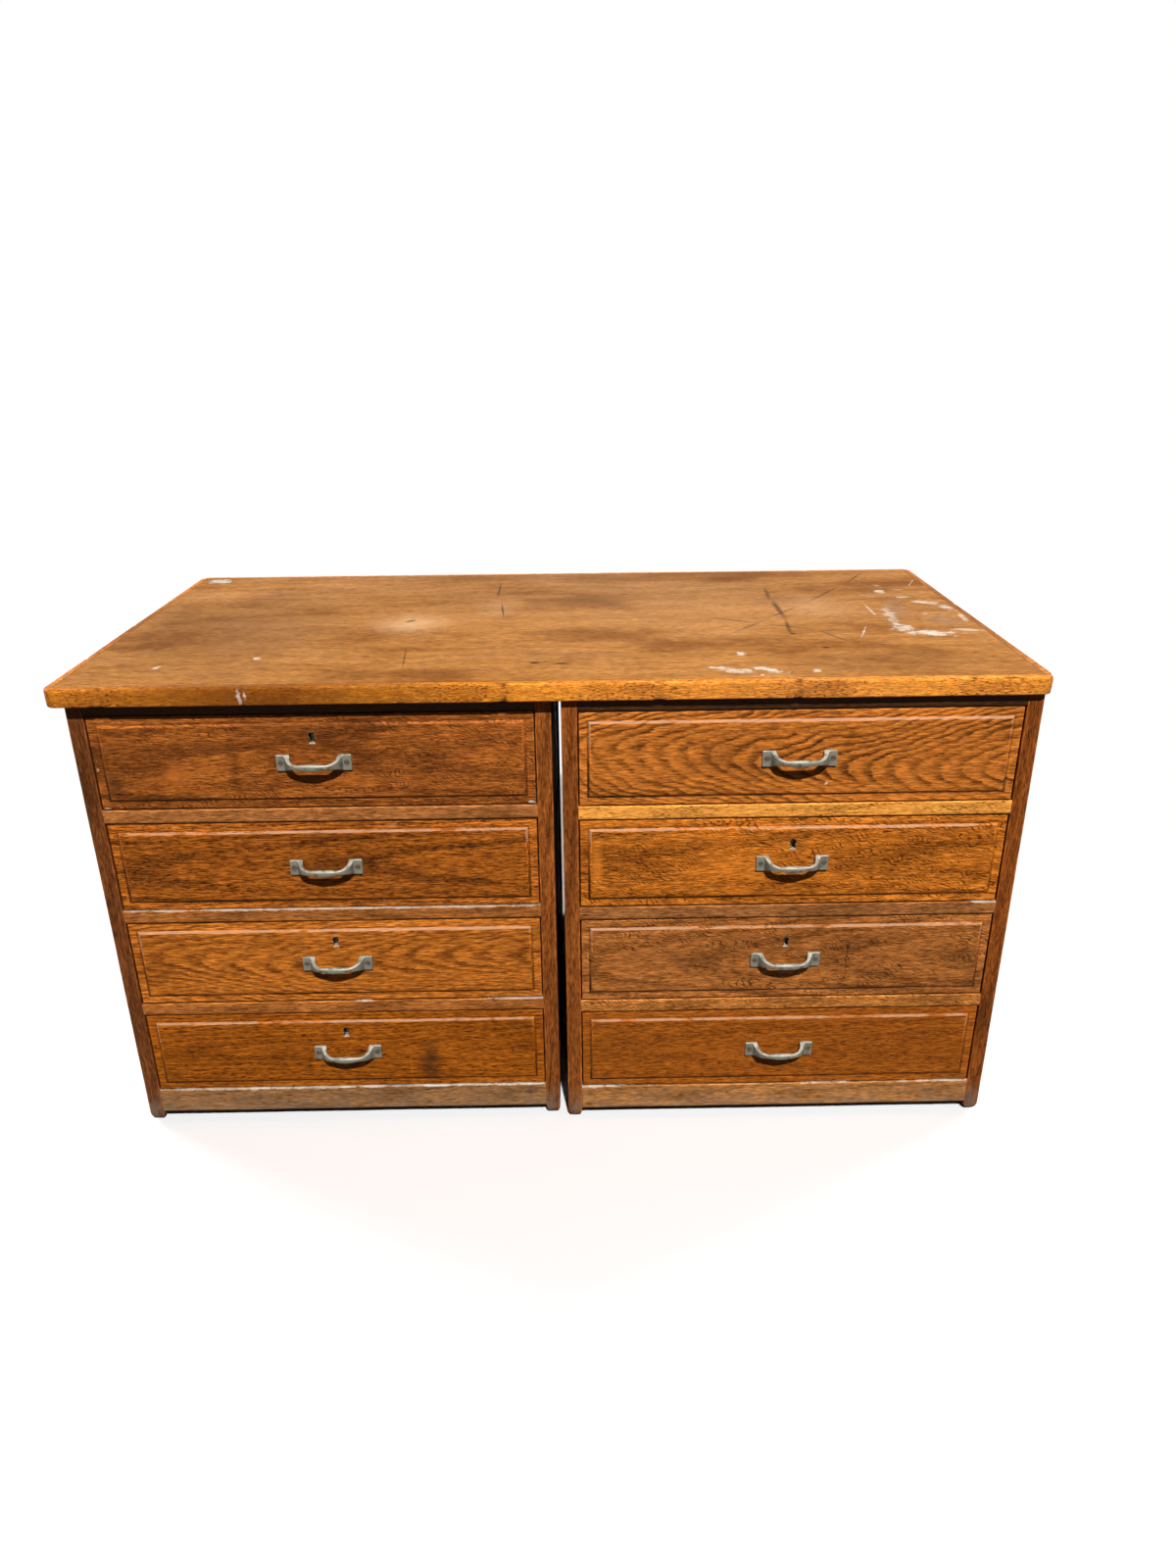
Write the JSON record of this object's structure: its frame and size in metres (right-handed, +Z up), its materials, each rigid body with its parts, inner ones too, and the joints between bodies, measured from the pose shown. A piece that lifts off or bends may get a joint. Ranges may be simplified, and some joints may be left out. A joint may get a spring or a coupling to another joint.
{
  "type": "drawer cabinet",
  "caption": "Wide oak drawer cabinet: side-by-side pedestals of dovetailed drawers with fielded fronts, locks and cast pull handles, under one long lipped top.",
  "frame": {"origin": "on the floor under the middle of the whole piece's box", "axes": "+X to the right seen from the front, +Y to the back, +Z up; the drawers face -Y"},
  "size_m": [1.401, 0.7292, 0.762],
  "materials": {
    "oak_top": "worn satin oak, smudged and scratched",
    "oak_lipping": "worn satin oak edge",
    "oak_front": "satin varnished oak",
    "oak_carcass": "satin varnished oak, worn arrises",
    "oak_panel": "satin varnished oak panel",
    "drawer_timber": "bare planed wood",
    "handle_metal": "dull grey cast metal, worn bright on the bar",
    "screw_steel": "rusted",
    "lock_brass": "tarnished"
  },
  "bodies": {
    "carcass": {"top_core": "oak_top", "top_lippings": "oak_lipping", "left_posts": "oak_carcass", "left_plinth_rail": "oak_carcass", "left_drawer_rails": "oak_carcass", "left_frame_rails": "oak_carcass", "left_side_panels": "oak_panel", "left_back_panel": "oak_panel", "left_runners": "drawer_timber", "left_drawer_stops": "drawer_timber", "right_posts": "oak_carcass", "right_plinth_rail": "oak_carcass", "right_drawer_rails": "oak_carcass", "right_frame_rails": "oak_carcass", "right_side_panels": "oak_panel", "right_back_panel": "oak_panel", "right_runners": "drawer_timber", "right_drawer_stops": "drawer_timber"},
    "left_drawer_1": {"left_drawer_1_front": "oak_front", "left_drawer_1_box": "drawer_timber", "left_drawer_1_handle": "handle_metal", "left_drawer_1_screws": "screw_steel", "left_drawer_1_lock": "lock_brass"},
    "left_lock_bolt_1": {"left_drawer_1_bolt": "lock_brass"},
    "left_drawer_2": {"left_drawer_2_front": "oak_front", "left_drawer_2_box": "drawer_timber", "left_drawer_2_handle": "handle_metal", "left_drawer_2_screws": "screw_steel"},
    "left_drawer_3": {"left_drawer_3_front": "oak_front", "left_drawer_3_box": "drawer_timber", "left_drawer_3_handle": "handle_metal", "left_drawer_3_screws": "screw_steel", "left_drawer_3_lock": "lock_brass"},
    "left_lock_bolt_3": {"left_drawer_3_bolt": "lock_brass"},
    "left_drawer_4": {"left_drawer_4_front": "oak_front", "left_drawer_4_box": "drawer_timber", "left_drawer_4_handle": "handle_metal", "left_drawer_4_screws": "screw_steel", "left_drawer_4_lock": "lock_brass"},
    "left_lock_bolt_4": {"left_drawer_4_bolt": "lock_brass"},
    "right_drawer_1": {"right_drawer_1_front": "oak_front", "right_drawer_1_box": "drawer_timber", "right_drawer_1_handle": "handle_metal", "right_drawer_1_screws": "screw_steel"},
    "right_drawer_2": {"right_drawer_2_front": "oak_front", "right_drawer_2_box": "drawer_timber", "right_drawer_2_handle": "handle_metal", "right_drawer_2_screws": "screw_steel", "right_drawer_2_lock": "lock_brass"},
    "right_lock_bolt_2": {"right_drawer_2_bolt": "lock_brass"},
    "right_drawer_3": {"right_drawer_3_front": "oak_front", "right_drawer_3_box": "drawer_timber", "right_drawer_3_handle": "handle_metal", "right_drawer_3_screws": "screw_steel", "right_drawer_3_lock": "lock_brass"},
    "right_lock_bolt_3": {"right_drawer_3_bolt": "lock_brass"},
    "right_drawer_4": {"right_drawer_4_front": "oak_front", "right_drawer_4_box": "drawer_timber", "right_drawer_4_handle": "handle_metal", "right_drawer_4_screws": "screw_steel"}
  },
  "joints": [
    {"name": "left_drawer_1_slide", "type": "slide", "parent": "carcass", "child": "left_drawer_1", "axis": [0, -1, 0], "range_m": [0, 0.45]},
    {"name": "left_lock_bolt_1_slide", "type": "slide", "parent": "left_drawer_1", "child": "left_lock_bolt_1", "axis": [0, 0, 1], "range_m": [0, 0.008]},
    {"name": "left_drawer_2_slide", "type": "slide", "parent": "carcass", "child": "left_drawer_2", "axis": [0, -1, 0], "range_m": [0, 0.45]},
    {"name": "left_drawer_3_slide", "type": "slide", "parent": "carcass", "child": "left_drawer_3", "axis": [0, -1, 0], "range_m": [0, 0.45]},
    {"name": "left_lock_bolt_3_slide", "type": "slide", "parent": "left_drawer_3", "child": "left_lock_bolt_3", "axis": [0, 0, 1], "range_m": [0, 0.008]},
    {"name": "left_drawer_4_slide", "type": "slide", "parent": "carcass", "child": "left_drawer_4", "axis": [0, -1, 0], "range_m": [0, 0.45]},
    {"name": "left_lock_bolt_4_slide", "type": "slide", "parent": "left_drawer_4", "child": "left_lock_bolt_4", "axis": [0, 0, 1], "range_m": [0, 0.008]},
    {"name": "right_drawer_1_slide", "type": "slide", "parent": "carcass", "child": "right_drawer_1", "axis": [0, -1, 0], "range_m": [0, 0.45]},
    {"name": "right_drawer_2_slide", "type": "slide", "parent": "carcass", "child": "right_drawer_2", "axis": [0, -1, 0], "range_m": [0, 0.45]},
    {"name": "right_lock_bolt_2_slide", "type": "slide", "parent": "right_drawer_2", "child": "right_lock_bolt_2", "axis": [0, 0, 1], "range_m": [0, 0.008]},
    {"name": "right_drawer_3_slide", "type": "slide", "parent": "carcass", "child": "right_drawer_3", "axis": [0, -1, 0], "range_m": [0, 0.45]},
    {"name": "right_lock_bolt_3_slide", "type": "slide", "parent": "right_drawer_3", "child": "right_lock_bolt_3", "axis": [0, 0, 1], "range_m": [0, 0.008]},
    {"name": "right_drawer_4_slide", "type": "slide", "parent": "carcass", "child": "right_drawer_4", "axis": [0, -1, 0], "range_m": [0, 0.45]}
  ]
}
